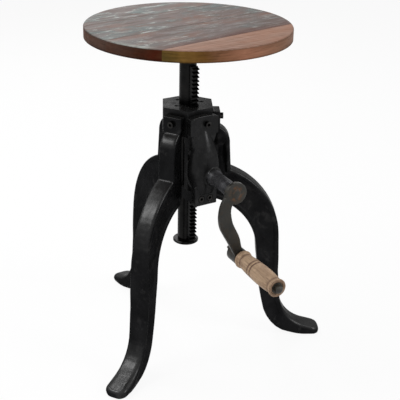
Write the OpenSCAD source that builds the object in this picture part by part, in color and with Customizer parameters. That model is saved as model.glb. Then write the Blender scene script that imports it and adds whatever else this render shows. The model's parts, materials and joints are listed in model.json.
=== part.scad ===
// Adjustable swivel stool: three cast legs on a hexagonal head, a rack post wound up and
// down by a hand crank through a worm and a rack gear, and a round plank seat that turns
// on top of the post. Millimetres, +Z up, origin on the floor under the post.
// The gear housing and its crank face -Y.

/* [Seat] */
// Height of the seat's top above the floor at rest
seat_z = 555; // [550:1:575]
// Diameter of the seat
seat_d = 330; // [300:1:360]
// Thickness of the seat planks
seat_t = 18; // [14:1:28]
// Radius of the rounded rim of the seat
seat_rim_r = 2.5; // [1:0.5:5]
// Width of the inner seat planks
plank_w = 92; // [84:1:100]
// Distance from the seat's centre to the seam of the front plank
front_seam = 96.5; // [88:0.5:110]
// Direction of the planks, turned about the post
plank_turn = 8.8; // [-90:0.1:90]
// Diameter of the flange under the seat
flange_d = 120; // [90:1:160]
// Thickness of the flange under the seat
flange_t = 5; // [4:0.5:8]
// Diameter of the circle of seat screws
screw_pcd = 92; // [72:1:104]

/* [Swivel] */
// Diameter of the journal that the seat turns on
journal_d = 18; // [14:1:20]
// Outer diameter of the swivel bush
swivel_bush_d = 24; // [22:1:27]
// Outer diameter of the hub under the seat
hub_d = 40; // [38:1:50]
// Length of the swivel bush
swivel_bush_l = 26; // [18:1:27]
// Thickness of the thrust washer
thrust_t = 2.5; // [1.5:0.5:4]

/* [Post] */
// Diameter of the round post bar
bar_d = 28; // [26:0.5:30]
// Height of the post's lower end above the floor at rest
post_z = 185; // [174:1:188]
// Width of the rack strip
rack_w = 12; // [10:1:15]
// Distance from the post's axis to the tips of the rack teeth
rack_tip = 24.8; // [23.6:0.1:25.6]
// Depth of the rack strip from its seat in the bar to the tooth tips
rack_depth = 15.3; // [13:0.1:17]
// Diameter of the stop disc
stop_d = 43; // [40:1:48]
// Thickness of the stop disc
stop_t = 5; // [3:0.5:8]

/* [Rack gear and worm] */
// Gear module, which also sets the rack pitch
tooth_module = 2.1; // [2:0.05:2.2]
// Width of the rack gear
gear_w = 22; // [20:0.5:23]
// Distance from the mid plane of the rack to the worm's axis where it meets the gear
worm_x = 10; // [9:0.5:11]
// Pitch radius of the worm
worm_r = 10; // [9:0.5:11]
// Length of the worm's thread
worm_l = 26; // [20:1:28]
// Tooth clearance at the pitch line
backlash = 0.5; // [0.4:0.05:0.7]
// Diameter of the gear axle
axle_d = 8; // [6:0.5:10]

/* [Head] */
// Height of the head's top above the floor
head_z = 425.5; // [420:0.5:430]
// Width of the head across its flats
head_flats = 80; // [76:1:83]
// Height of the head
head_h = 43.5; // [40:0.5:46]
// Diameter of the guide ring in the head
ring_d = 48; // [46:1:52]
// Radius of the notches in the guide ring's rim
notch_r = 3.5; // [2.5:0.5:4]

/* [Legs] */
// Width of a leg
leg_w = 28; // [24:1:32]
// Width of a leg's plate on the head
plate_w = 32; // [28:1:36]
// Thickness of a leg's plate on the head
plate_t = 13; // [10:0.5:15]
// Height of a leg's plate
plate_h = 25; // [22:1:28]
// Distance from the head's top down to the top of the plates
plate_drop = 9.5; // [6:0.5:12]
// Distance from the post's axis to the knee
knee_r = 73; // [68:1:78]
// Height of the knee above the floor
knee_z = 315; // [305:1:325]
// Distance from the post's axis to the tip of a foot
foot_r = 240; // [224:1:256]
// Radius of the curve on the outside of a leg
bow_r = 134; // [126:1:142]
// Distance from the post's axis to the outermost point of that curve
bow_out = 159; // [153:1:165]
// Radius of the curve on the inside of a leg
arch_r = 101; // [95:1:108]
// Distance from the post's axis to the outermost point of the inside curve
arch_out = 121; // [116:1:126]
// Slope of the top of a foot below the horizontal
toe_slope = 12; // [8:1:18]
// Radius of the tip of a foot, seen from the side
toe_r = 7; // [6:0.5:8]
// Radius of the corners of a foot, seen from above
toe_corner = 12; // [9:0.5:14]
// Radius of the hollow above a foot
ankle_r = 64; // [56:1:70]
// Radius of the rounded shoulder under a leg's plate
shoulder_r = 30; // [26:0.5:34]
// Thickness of the flange along the outside of a leg
leg_flange = 8; // [8:0.5:12]
// Thickness of the rim along the inside of a leg
leg_rim = 7; // [6.5:0.5:10]
// Depth of the panel sunk into each side of a leg
panel_depth = 3; // [2:0.5:5]
// Radius of the rounded edges of a leg
leg_edge_r = 3.5; // [2:0.5:4]
// Radius of the rounded edges along the top of a foot
foot_edge_r = 8; // [4:0.5:9]

/* [Gear housing] */
// Half width of the housing's box
case_w = 21; // [21:0.5:24]
// Distance from the post's axis to the housing's open back
case_back = 26; // [24.5:0.5:28]
// Distance from the post's axis to the front of the housing's box
case_front = 56; // [54:0.5:60]
// Half width of the housing's flange on the head
case_flange_w = 26; // [24:0.5:28]
// Height of the housing's box, above which it narrows into the flange
case_top = 358; // [352:1:364]
// Radius of the housing's rounded front corners
case_corner = 19; // [12:0.5:20]
// Distance from the gear's axle forward to the middle of the bell
bell_forward = 5.5; // [4.5:0.1:7]
// Largest radius of the bell over the gear and worm
bell_r = 27.5; // [27:0.25:29]
// Outer radius of the barrel round the crank shaft
barrel_r = 12; // [11:0.5:14]
// Length of the barrel from the gear to its mouth
barrel_l = 94; // [86:1:94]

/* [Lower guide] */
// Thickness of the guide block
guide_h = 20; // [16:1:24]
// Height of the guide block's underside above the floor
guide_z = 268; // [264:1:270]
// Outer radius of the guide round the post
guide_r = 16.5; // [16:0.5:20]

/* [Crank] */
// Height of the crank's axis above the floor
crank_z = 319.5; // [318:0.5:322]
// Diameter of the crank shaft
shaft_d = 14; // [12:0.5:15]
// Distance from the barrel's mouth to the outer face of the crank arm
arm_face = 13; // [11:1:19]
// Thickness of the crank arm
arm_t = 8; // [6:0.5:9]
// Width of the crank arm
arm_w = 18; // [15:0.5:21]
// Radius of the crank arm's upper boss
arm_boss_r = 18; // [16:0.5:21]
// Distance from the crank's axis down to the grip's axis
throw_z = 114; // [106:0.5:120]
// Distance from the crank's axis sideways to the grip's axis at rest
throw_x = 14; // [10:0.5:17]
// Radius of the crank arm's bend, at its middle line
bend_r = 45.5; // [42:0.5:50]
// Radius of the barrel boss that holds the grip's rod
grip_boss_r = 13.5; // [12:0.5:15]
// Length of the barrel boss that holds the grip's rod
grip_boss_l = 27; // [20:1:32]

/* [Grip] */
// Length of the wooden grip
grip_l = 110; // [96:1:118]
// Largest diameter of the wooden grip
grip_d = 31; // [28:0.5:33]
// Diameter of the grip's rod
rod_d = 8; // [7:0.5:10]
// Length of the rod's tail behind the arm's outer face
rod_tail = 46; // [38:1:47]

/* [Fasteners and fits] */
// Thread diameter of the hex-socket screws
bolt_d = 6; // [5:0.5:7]
// Radial clearance of a running fit
run_fit = 0.05; // [0.03:0.01:0.08]
// Gap between faces that move past each other
gap = 0.3; // [0.2:0.05:0.5]

/* [Hidden] */
$fn = 96;
e = 0.01;                     // reach of a cut past a face

// Colours
cast_black = [0.10, 0.10, 0.11];
worn_steel = [0.34, 0.32, 0.30];
bright_steel = [0.62, 0.62, 0.64];
bronze = [0.62, 0.46, 0.24];
grip_wood = [0.72, 0.56, 0.38];

// Seat and swivel
seat_r = seat_d / 2;
seat_under = seat_z - seat_t;
bolt_head_h = 5.5;
ret_washer_t = 2;
well_h = ret_washer_t + bolt_head_h + 2 * gap + 3;      // room above the journal
well_r = swivel_bush_d / 2 + 4;
bush_top = seat_under - well_h;
hub_z = bush_top - swivel_bush_l;
shoulder_z = hub_z - gap - thrust_t;
journal_top = bush_top + gap;
planks = [
    ["seat_plank_front", -seat_r - 1, -front_seam],
    ["seat_plank_mid_front", -front_seam, plank_w - front_seam],
    ["seat_plank_mid_rear", plank_w - front_seam, 2 * plank_w - front_seam],
    ["seat_plank_rear", 2 * plank_w - front_seam, seat_r + 1]
];
seam_bevel = 0.6;
hub_flare = [7, 9];                      // width and height of the cone under the flange
wood_screw_d = 3;
wood_screw_l = 12;                       // how far the wood screws reach into the planks

// Rack, gear and worm
pitch = PI * tooth_module;
pressure = 20;
addendum = tooth_module;
dedendum = 1.25 * tooth_module;
gear_teeth = 18;
gear_r = tooth_module * gear_teeth / 2;
gear_y = rack_tip - addendum + gear_r;
gear_z = crank_z + worm_r + gear_r;
lead = asin(tooth_module / (2 * worm_r));
worm_pitch = pitch / cos(lead);
rack_seat = rack_tip - rack_depth;
rack_low = post_z + 1;
rack_high = shoulder_z - 6;
bell_y = gear_y + bell_forward;
gear_x0 = -(rack_w / 2 + 0.8);
gear_cavity_r = gear_r + addendum + 1;
worm_cavity_r = worm_r + addendum + 1.1;
slot_w = rack_w / 2 + 0.15;             // half width of the slots that the rack runs in
slot_y = rack_tip + 1.4;

// Head and legs
facet = head_flats / 2;
head_low = head_z - head_h;
plate_top = head_z - plate_drop;
plate_low = plate_top - plate_h;
bolt_z = plate_top - plate_h / 2 + 1;
leg_turns = [["leg_left", -150], ["leg_right", -30], ["leg_rear", 90]];
shin_lean = 2.5;
heel_r = 74;
toe_wide = 2;                            // how much wider than the leg a foot is, each side
sole_r = 2.5;                            // rounding of the sole at the tip of a foot

// Crank shaft, measured along its axis from the point below the gear
bush_r = shaft_d / 2 + 2.2;
worm_bore = 5;
worm_hub_r = worm_bore + 3.5;
hub_l = 7;
pin_r = 1.5;
pin_l = 2 * worm_hub_r;
inner_bush = [worm_l / 2 + hub_l + 6, 18];
outer_bush_l = 18;
arm_front = barrel_l + arm_face;
arm_back = arm_front - arm_t;
arm_bend = [bend_r - 20.5, -38];
stem_r = 6;
grip_at = [throw_x, -throw_z];
grip_start = arm_front + 1.6;
end_recess = [10, 2.2];
nut_r = 6.2;

// Screws
head_r = bolt_d * 0.85;
screw_l = 24;

function arc(c, r, a0, a1, n = 16) =
    [for (i = [0:n]) let (a = a0 + (a1 - a0) * i / n) [c[0] + r * cos(a), c[1] + r * sin(a)]];

// A hex-socket cap screw along -Z, with the underside of its head at the origin
module cap_screw(d = bolt_d, l = screw_l, head = bolt_head_h) {
    difference() {
        union() {
            cylinder(r = d * 0.85, h = head);
            translate([0, 0, -l]) cylinder(d = d, h = l);
        }
        translate([0, 0, head * 0.4]) cylinder(r = d * 0.45, h = head, $fn = 6);
    }
}

// ---------------------------------------------------------------- seat
module seat_disc() {
    rotate_extrude($fn = 180) {
        translate([0, seat_under]) square([seat_r - seat_rim_r, seat_t]);
        translate([0, seat_under]) square([seat_r, seat_t - seat_rim_r]);
        translate([seat_r - seat_rim_r, seat_z - seat_rim_r]) circle(r = seat_rim_r);
    }
}

// A strip of the disc between two seams, with a small bevel along each seam's top edge
module seat_plank(y0, y1) {
    strip = [
        [y0, seat_under - 1], [y1, seat_under - 1], [y1, seat_z - seam_bevel],
        [y1 - seam_bevel, seat_z + e], [y0 + seam_bevel, seat_z + e], [y0, seat_z - seam_bevel]
    ];
    difference() {
        rotate([0, 0, plank_turn]) intersection() {
            seat_disc();
            translate([-seat_r - 1, 0, 0]) rotate([90, 0, 90])
                linear_extrude(height = seat_d + 2) polygon(strip);
        }
        at_seat_screws() cylinder(d = wood_screw_d, h = wood_screw_l);
    }
}

module plank(i) {
    seat_plank(planks[i][1], planks[i][2]);
}

module at_seat_screws() {
    for (i = [0:3])
        rotate([0, 0, 45 + 90 * i]) translate([screw_pcd / 2, 0, seat_under]) children();
}

module seat_flange() {
    plate_z = seat_under - flange_t;
    color(cast_black) difference() {
        rotate_extrude() polygon([
            [0, hub_z], [hub_d / 2 - 1, hub_z], [hub_d / 2, hub_z + 1],
            [hub_d / 2, plate_z - hub_flare[1]], [hub_d / 2 + hub_flare[0], plate_z],
            [flange_d / 2 - 1, plate_z],
            [flange_d / 2, plate_z + 1], [flange_d / 2, seat_under], [0, seat_under]
        ]);
        translate([0, 0, hub_z - 1]) cylinder(d = swivel_bush_d, h = seat_under - hub_z);
        translate([0, 0, bush_top]) cylinder(r = well_r, h = well_h + 1);
        at_seat_screws() translate([0, 0, -flange_t - 1])
            cylinder(d = wood_screw_d + 2, h = flange_t + 2);
    }
}

// Round-head wood screws driven up through the flange
module seat_screws() {
    color(bright_steel) at_seat_screws() {
        translate([0, 0, -flange_t]) cylinder(d = wood_screw_d, h = flange_t + wood_screw_l);
        translate([0, 0, -flange_t]) mirror([0, 0, 1]) intersection() {
            cylinder(d = 3 * wood_screw_d, h = wood_screw_d);
            translate([0, 0, -1.1 * wood_screw_d]) sphere(r = 2 * wood_screw_d);
        }
    }
}

module swivel_bush() {
    color(bronze) translate([0, 0, hub_z]) difference() {
        cylinder(d = swivel_bush_d, h = swivel_bush_l);
        translate([0, 0, -1]) cylinder(r = journal_d / 2 + run_fit, h = swivel_bush_l + 2);
    }
}

// ---------------------------------------------------------------- post
module post_bar() {
    color(cast_black) difference() {
        union() {
            translate([0, 0, post_z]) cylinder(d = bar_d, h = shoulder_z - post_z);
            translate([0, 0, shoulder_z - e])
                cylinder(d = journal_d, h = journal_top - shoulder_z + e);
        }
        translate([-rack_w / 2, -rack_tip, rack_low])
            cube([rack_w, rack_tip - rack_seat, rack_high - rack_low]);
        translate([0, 0, journal_top - 20]) cylinder(d = bolt_d, h = 21);
        translate([0, 0, post_z - 1]) cylinder(d = bolt_d, h = 21);
    }
}

// Side view of the rack: X is the distance out from the post, Y the height
function rack_tooth(z) =
    let (crest = pitch / 4 - addendum * tan(pressure) - backlash / 4,
         root = pitch / 4 + dedendum * tan(pressure) - backlash / 4,
         floor_x = rack_tip - addendum - dedendum)
    [[floor_x, z - root], [rack_tip, z - crest], [rack_tip, z + crest], [floor_x, z + root]];

module rack_strip() {
    first = ceil((rack_low - gear_z) / pitch + 0.45);
    last = floor((rack_high - gear_z) / pitch - 0.45);
    outline = concat(
        [[rack_seat, rack_low], [rack_tip - addendum - dedendum, rack_low]],
        [for (k = [first:last]) each rack_tooth(gear_z + k * pitch)],
        [[rack_tip - addendum - dedendum, rack_high], [rack_seat, rack_high]]
    );
    color(cast_black) translate([rack_w / 2, 0, 0]) rotate([90, 0, -90])
        linear_extrude(height = rack_w) polygon(outline);
}

module stop_disc() {
    color(cast_black) difference() {
        translate([0, 0, post_z - stop_t]) rotate_extrude() polygon([
            [0, 0], [stop_d / 2 - 1, 0], [stop_d / 2, 1],
            [stop_d / 2, stop_t - 1], [stop_d / 2 - 1, stop_t], [0, stop_t]
        ]);
        translate([0, 0, post_z - stop_t - 1]) cylinder(d = bolt_d + 0.4, h = stop_t + 2);
    }
}

module stop_screw() {
    color(bright_steel) translate([0, 0, post_z - stop_t]) mirror([0, 0, 1])
        cap_screw(l = stop_t + 18, head = 4);
}

module thrust_washer() {
    color(bronze) translate([0, 0, shoulder_z]) difference() {
        cylinder(d = hub_d - 4, h = thrust_t);
        translate([0, 0, -1]) cylinder(r = journal_d / 2 + 0.1, h = thrust_t + 2);
    }
}

module retaining_washer() {
    color(bright_steel) translate([0, 0, journal_top]) difference() {
        cylinder(r = well_r - 1.2, h = ret_washer_t);
        translate([0, 0, -1]) cylinder(d = bolt_d + 0.4, h = ret_washer_t + 2);
    }
}

module retaining_bolt() {
    color(bright_steel) translate([0, 0, journal_top + ret_washer_t])
        cap_screw(l = 20);
}

// ---------------------------------------------------------------- head
module post_bore(z0, h, reach = slot_y) {
    translate([0, 0, z0]) cylinder(r = bar_d / 2 + run_fit, h = h);
    translate([-slot_w, -reach, z0]) cube([2 * slot_w, reach, h]);
}

module rim_notches() {
    for (a = [-10, 102, 190])
        rotate([0, 0, a]) translate([ring_d / 2, 0, head_z - 8]) cylinder(r = notch_r, h = 9);
}

module hex_head() {
    color(cast_black) difference() {
        translate([0, 0, head_low]) cylinder(r = facet / cos(30), h = head_h, $fn = 6);
        translate([0, 0, head_low - 1]) cylinder(d = ring_d, h = head_h + 2);
        post_bore(head_low - 1, head_h + 2);
        rim_notches();
        for (leg = leg_turns) rotate([0, 0, leg[1]]) screw_hole();
        rotate([0, 0, -90]) screw_hole(x = 4);
    }
}

module screw_hole(x = 0) {
    translate([facet + 1, x, bolt_z]) rotate([0, -90, 0])
        cylinder(d = bolt_d, h = screw_l - plate_t + 2);
}

// The guide ring lies flush with the head's top and has three notches in its rim
module guide_ring() {
    color(cast_black) difference() {
        translate([0, 0, head_low]) cylinder(d = ring_d, h = head_h);
        post_bore(head_low - 1, head_h + 2);
        rim_notches();
    }
}

// ---------------------------------------------------------------- legs
// A leg is a loft through stations along its bow. Each station is a section across the leg,
// [outer point, inner point, half width, depth of the side panels, radius of the outer edges],
// with the two points in the leg's side view: X is the distance from the post, Y the height.
function mix(a, b, t) = a + (b - a) * t;
function on_arc(c, r, a) = c + r * [cos(a), sin(a)];

function bend3(p, q, r, t) = mix(mix(p, q, t), mix(q, r, t), t);

knee = [knee_r, knee_z];
shoulder_c = [knee_r - 2.5 - shoulder_r, plate_low + 0.5 - shoulder_r];
bow_c = [bow_out - bow_r, knee_z - sqrt(pow(bow_r, 2) - pow(knee_r - bow_out + bow_r, 2))];
bow_a = atan2(knee_z - bow_c[1], knee_r - bow_c[0]);
bow_end = on_arc(bow_c, bow_r, shin_lean);

// the top of a foot slopes down to a rounded tip
toe_c = [foot_r - toe_r, toe_r];
toe_top = on_arc(toe_c, toe_r, 90 - toe_slope);
shin_dir = [sin(shin_lean), -cos(shin_lean)];
toe_dir = [-cos(toe_slope), sin(toe_slope)];
toe_normal = [toe_dir[1], -toe_dir[0]];
// the ankle is where the line of the shin meets the line of the toe
ankle = bow_end + ((toe_top - bow_end) * toe_normal) / (shin_dir * toe_normal) * shin_dir;
ankle_l = ankle_r * tan((90 - toe_slope - shin_lean) / 2);
ankle_in = ankle - ankle_l * shin_dir;
ankle_c = ankle_in + ankle_r * [cos(shin_lean), sin(shin_lean)];
function top_z(x) =
    x < toe_top[0] ? toe_top[1] + (toe_top[0] - x) * tan(toe_slope)
    : toe_r + sqrt(pow(toe_r, 2) - pow(x - toe_c[0], 2));
function sole_z(x) =
    let (d = max(0, x - foot_r + sole_r)) sole_r - sqrt(pow(sole_r, 2) - pow(d, 2));

inner_x = facet + 0.3;
arch_c = [arch_out - arch_r, bow_c[1] - 25];
arch_a = acos((inner_x - arch_c[0]) / arch_r);
heel_c = [foot_r - toe_r - 20.5, heel_r];
calf_in = on_arc(arch_c, arch_r, 2);
calf_mid = calf_in - [-1, 24];
heel_in = on_arc(heel_c, heel_r, 192);
// where a line from the middle of the ankle's curve meets the heel's curve
function heel_at(a) =
    let (d = [cos(a), sin(a)], v = ankle_c - heel_c, b = v * d)
    ankle_c + (sqrt(b * b - v * v + heel_r * heel_r) - b) * d;

hw = leg_w / 2;
hw_knee = 1.05 * hw;
hw_shin = 0.93 * hw;
hw_toe = hw + toe_wide;
tip_x = foot_r - toe_corner;

stations = concat(
    [[[facet + 10, plate_low + 3], [facet + 0.6, plate_low + 3], hw, 0, leg_edge_r]],
    [for (i = [0:6]) let (t = i / 6) [
        on_arc(shoulder_c, shoulder_r, mix(62, -5, t)),
        [inner_x, mix(plate_low - 6, shoulder_c[1] - 8, t)], hw, t < 1 ? 0 : panel_depth, leg_edge_r
    ]],
    [[knee, [inner_x, knee_z - 20], hw_knee, panel_depth, leg_edge_r]],
    [for (i = [0:14]) let (t = i / 14) [
        on_arc(bow_c, bow_r, mix(bow_a - 4, shin_lean, t)),
        on_arc(arch_c, arch_r, mix(arch_a, 2, t)),
        mix(hw_knee, hw, t), panel_depth, leg_edge_r
    ]],
    [for (t = [0.2:0.2:0.8]) [
        mix(bow_end, ankle_in, t), bend3(calf_in, calf_mid, heel_in, 0.85 * t),
        mix(hw, hw_shin, t), panel_depth, leg_edge_r
    ]],
    [for (i = [0:9]) let (t = i / 9, a = mix(180 + shin_lean, 270 - toe_slope, t)) [
        on_arc(ankle_c, ankle_r, a),
        i == 0 ? bend3(calf_in, calf_mid, heel_in, 0.85) : heel_at(a),
        mix(hw_shin, hw_toe, t * t), panel_depth * max(0, 1 - 1.15 * t * t),
        mix(leg_edge_r, foot_edge_r, t)
    ]],
    [for (i = [0:6]) let (a = 14 * i, x = tip_x + toe_corner * sin(a)) [
        [x, top_z(x)], [x - 0.01, sole_z(x)],
        hw_toe - toe_corner + toe_corner * cos(a), 0, foot_edge_r
    ]]
);

// Half of a section, from the outer face to the inner one: [distance inwards, half width]
function half_section(l, w, d, edge) =
    let (r = min(edge, 0.45 * l, 0.8 * w), f = max(r, min(leg_flange, 0.3 * l)),
         m = min(leg_rim, 0.28 * l), q = 0.8 * min(leg_edge_r, 0.3 * l, w / 2),
         slope = min(2, 0.1 * l), v = w - 1)
    concat(
        arc([r, w - r], r, 180, 90, 3),
        [[f + e, w], [f + slope, w - d], [l - m - slope, v - d + 1], [l - m - e, v]],
        arc([l - q, v - q], q, 90, 0, 3)
    );

function section(s) =
    let (inward = s[1] - s[0], l = norm(inward), u = inward / l,
         half = half_section(l, s[2], s[3], s[4]), n = len(half))
    concat(
        [for (i = [0:n - 1]) let (p = s[0] + half[i][0] * u) [p[0], half[i][1], p[1]]],
        [for (i = [n - 1:-1:0]) let (p = s[0] + half[i][0] * u) [p[0], -half[i][1], p[1]]]
    );

// A closed skin through sections that all have the same number of points
module loft(sections) {
    n = len(sections[0]);
    m = len(sections);
    points = [for (s = sections) each s];
    sides = [for (j = [0:m - 2], i = [0:n - 1]) let (k = (i + 1) % n, a = j * n, b = a + n)
        each [[a + i, b + k, b + i], [a + i, a + k, b + k]]];
    caps = [[for (i = [n - 1:-1:0]) i], [for (i = [0:n - 1]) (m - 1) * n + i]];
    polyhedron(points = points, faces = concat(sides, caps), convexity = 6);
}

module leg() {
    difference() {
        union() {
            translate([facet, -plate_w / 2, plate_low]) cube([plate_t, plate_w, plate_h]);
            loft([for (s = stations) section(s)]);
        }
        translate([facet - 1, 0, bolt_z]) rotate([0, 90, 0])
            cylinder(d = bolt_d + 0.4, h = plate_t + 2);
    }
}

module placed_leg(i) {
    color(cast_black) rotate([0, 0, leg_turns[i][1]]) leg();
}

module leg_bolts() {
    color(worn_steel) for (leg = leg_turns)
        rotate([0, 0, leg[1]]) translate([facet + plate_t, 0, bolt_z]) rotate([0, 90, 0]) cap_screw();
}

// ---------------------------------------------------------------- gear housing
// Local frame of the crank: Z runs out along the shaft from the point below the gear,
// X to the right seen from outside, Y up
module at_crank() {
    translate([worm_x, -gear_y, crank_z]) rotate([0, 0, -lead]) rotate([90, 0, 0]) children();
}

// A box from the flat back to the front, with rounded front corners
module case_box(z0, z1, back) {
    r = min(case_corner, case_front - back - 2);
    translate([0, 0, z0]) linear_extrude(height = z1 - z0) polygon(concat(
        [[case_w, -back], [-case_w, -back]],
        arc([r - case_w, r - case_front], r, 180, 270, 8),
        arc([case_w - r, r - case_front], r, 270, 360, 8)
    ));
}

// Smooth curve through four control points
function curve(p, q, r, v, n = 8) =
    [for (i = [0:n]) let (t = i / n) mix(bend3(p, q, r, t), bend3(q, r, v, t), t)];

// The bell over the gear and the worm: widest at the worm, drawn in to the flange above it
module bell() {
    low = guide_z + guide_h + gap;
    wide_z = crank_z + 7;
    translate([1, -bell_y, 0]) scale([1, 0.9, 1]) rotate_extrude() polygon(concat(
        [[0, low]],
        curve([bell_r - 9, low], [bell_r - 8, low + 9], [bell_r, low + 15], [bell_r, wide_z]),
        curve([bell_r, wide_z], [bell_r, wide_z + 27], [20.5, plate_low - 22], [5, plate_low + 6]),
        [[0, plate_low + 6]]
    ));
}

module gear_housing() {
    flange_front = facet + plate_t;
    seat_low = guide_z + guide_h + gap;
    color(cast_black) difference() {
        union() {
            // flange on the head, with an arched top edge
            translate([0, -facet, 0]) rotate([90, 0, 0]) linear_extrude(height = plate_t)
                intersection() {
                    translate([-case_flange_w, plate_low - 4])
                        square([2 * case_flange_w, plate_h + 12]);
                    translate([0, plate_top + 3 - 90]) circle(r = 90, $fn = 180);
                }
            // box with a rounded front, drawn in to the flange
            case_box(seat_low, case_top, case_back);
            hull() {
                case_box(case_top - 1, case_top, case_back);
                translate([-case_w - 3, -flange_front + 1, plate_low - 3])
                    cube([2 * case_w + 6, flange_front - 1 - case_back, 4]);
            }
            bell();
            // foot plate in front of the lower guide
            translate([-case_w, -case_front - 4, guide_z])
                cube([2 * case_w, 12, seat_low + 12 - guide_z]);
            at_crank() {
                translate([0, 0, -16]) cylinder(r = worm_cavity_r + 3.5, h = worm_l / 2 + hub_l + 24);
                translate([0, 0, 24]) cylinder(r1 = worm_cavity_r + 3.5, r2 = barrel_r, h = 18);
                cylinder(r = barrel_r, h = barrel_l);
            }
        }
        // gear and its axle
        translate([gear_x0 - 0.6, -gear_y, gear_z]) rotate([0, 90, 0])
            cylinder(r = gear_cavity_r, h = gear_w + 1.2);
        translate([-case_w - 1, -gear_y, gear_z]) rotate([0, 90, 0])
            cylinder(d = axle_d, h = 2 * case_w + 2);
        translate([-case_w - 4, -gear_y, gear_z]) rotate([0, 90, 0])
            cylinder(d = axle_d + 2, h = 8);
        // worm and shaft
        at_crank() {
            translate([0, 0, -30]) cylinder(r = worm_cavity_r, h = 30 + inner_bush[0]);
            translate([0, 0, inner_bush[0] - 1]) cylinder(r = bush_r, h = barrel_l);
        }
        // room for the rack, and a flat back
        translate([-60, -case_back, seat_low - 30]) cube([120, 60, head_low - seat_low + 30 - gap + e]);
        translate([-60, -facet, head_low - gap]) cube([120, 60, head_h]);
        // screws
        translate([4, -flange_front - 1, bolt_z]) rotate([-90, 0, 0]) cylinder(d = bolt_d + 0.4, h = 20);
        at_guide_screws() {
            translate([0, 0, -20]) cylinder(d = bolt_d + 0.4, h = 30);
            cylinder(r = head_r + 0.5, h = 8);
        }
    }
}

module housing_bolt() {
    color(worn_steel) translate([4, -facet - plate_t, bolt_z]) rotate([90, 0, 0]) cap_screw();
}

// ---------------------------------------------------------------- lower guide
guide_front = case_front - 8;

module at_guide_screws() {
    for (s = [-1, 1])
        translate([s * 8, -case_front - 4 + bolt_head_h, guide_z + guide_h / 2 + 1])
            rotate([90, 0, 0]) children();
}

module lower_guide() {
    color(cast_black) difference() {
        union() {
            translate([0, 0, guide_z]) cylinder(r = guide_r, h = guide_h + 5);
            translate([-guide_r, -guide_front, guide_z]) cube([2 * guide_r, guide_front, guide_h]);
        }
        post_bore(guide_z - 1, guide_h + 7, rack_tip + 0.6);
        at_guide_screws() translate([0, 0, -screw_l + 6]) cylinder(d = bolt_d, h = screw_l);
    }
}

module guide_screws() {
    color(worn_steel) at_guide_screws() cap_screw(l = screw_l - 8);
}

// ---------------------------------------------------------------- rack gear
function involute(a) = tan(a) * 180 / PI - a;
// Half angle of a tooth at radius r
function tooth_half(r) =
    let (base = gear_r * cos(pressure), a = r > base ? acos(base / r) : 0)
    90 / gear_teeth - backlash / 4 / gear_r * 180 / PI + involute(pressure) - involute(a);

module gear2d() {
    tip = gear_r + addendum - 0.1;
    root = gear_r - dedendum;
    steps = [for (i = [0:4]) root + (tip - root) * i / 4];
    polygon([
        for (k = [0:gear_teeth - 1]) let (a = 360 / gear_teeth * k) each concat(
            [for (r = steps) r * [cos(a - tooth_half(r)), sin(a - tooth_half(r))]],
            [for (i = [4:-1:0]) let (r = steps[i]) r * [cos(a + tooth_half(r)), sin(a + tooth_half(r))]]
        )
    ]);
}

module rack_gear() {
    color(bright_steel) translate([gear_x0, -gear_y, gear_z]) rotate([0, 90, 0])
        difference() {
            linear_extrude(height = gear_w) gear2d();
            translate([0, 0, -1]) cylinder(r = axle_d / 2 + run_fit, h = gear_w + 2);
        }
}

module gear_axle() {
    color(bright_steel) translate([-case_w + 4, -gear_y, gear_z]) rotate([0, 90, 0])
        cylinder(d = axle_d, h = 2 * case_w - 5);
}

// ---------------------------------------------------------------- crank
module crank_shaft() {
    shank = inner_bush[0] - 2;
    color(worn_steel) at_crank() {
        difference() {
            translate([0, 0, -worm_l / 2 - 1.5]) cylinder(r = worm_bore, h = worm_l / 2 + shank + 1.5);
            worm_pin_at() translate([0, 0, -1]) cylinder(r = pin_r, h = pin_l + 2);
        }
        translate([0, 0, shank]) cylinder(d = shaft_d, h = arm_back - shank);
        translate([0, 0, arm_back]) cylinder(r = stem_r, h = arm_t);
        // peened end
        translate([0, 0, arm_front]) intersection() {
            cylinder(r = stem_r + 2, h = 2);
            translate([0, 0, -20.5]) sphere(r = 22.3);
        }
    }
}

// Cross section of the one-start worm, with the middle of its thread at angle 0
module worm2d() {
    crest = pitch / 4 - addendum * tan(pressure) - backlash / 4;
    root = pitch / 4 + dedendum * tan(pressure) - backlash / 4;
    tip_r = worm_r + addendum - 0.1;
    root_r = worm_r - dedendum;
    c = 360 * crest / pitch;
    f = 360 * root / pitch;
    polygon(concat(
        arc([0, 0], tip_r, -c, c, 5),
        [for (a = [f:(360 - 2 * f) / 7:360 - f + e]) root_r * [cos(a), sin(a)]]
    ));
}

module worm() {
    turns = worm_l / worm_pitch;
    color(bright_steel) at_crank() difference() {
        union() {
            translate([0, 0, -worm_l / 2]) rotate([0, 0, -90 - 180 * turns])
                linear_extrude(height = worm_l, twist = -360 * turns, slices = round(turns * 18),
                    $fn = 13) worm2d();
            translate([0, 0, worm_l / 2 - 2]) cylinder(r = worm_hub_r, h = hub_l + 2);
        }
        translate([0, 0, -worm_l / 2 - 1]) cylinder(r = worm_bore, h = worm_l + hub_l + 2);
        worm_pin_at() translate([0, 0, -1]) cylinder(r = pin_r, h = pin_l + 2);
    }
}

module worm_pin_at() {
    translate([0, 0, worm_l / 2 + hub_l / 2]) rotate([90, 0, 0]) translate([0, 0, -pin_l / 2]) children();
}

module worm_pin() {
    color(bright_steel) at_crank() worm_pin_at() cylinder(r = pin_r, h = pin_l);
}

module bush(z, l) {
    color(bronze) at_crank() translate([0, 0, z]) difference() {
        cylinder(r = bush_r, h = l);
        translate([0, 0, -1]) cylinder(r = shaft_d / 2 + run_fit, h = l + 2);
    }
}

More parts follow.
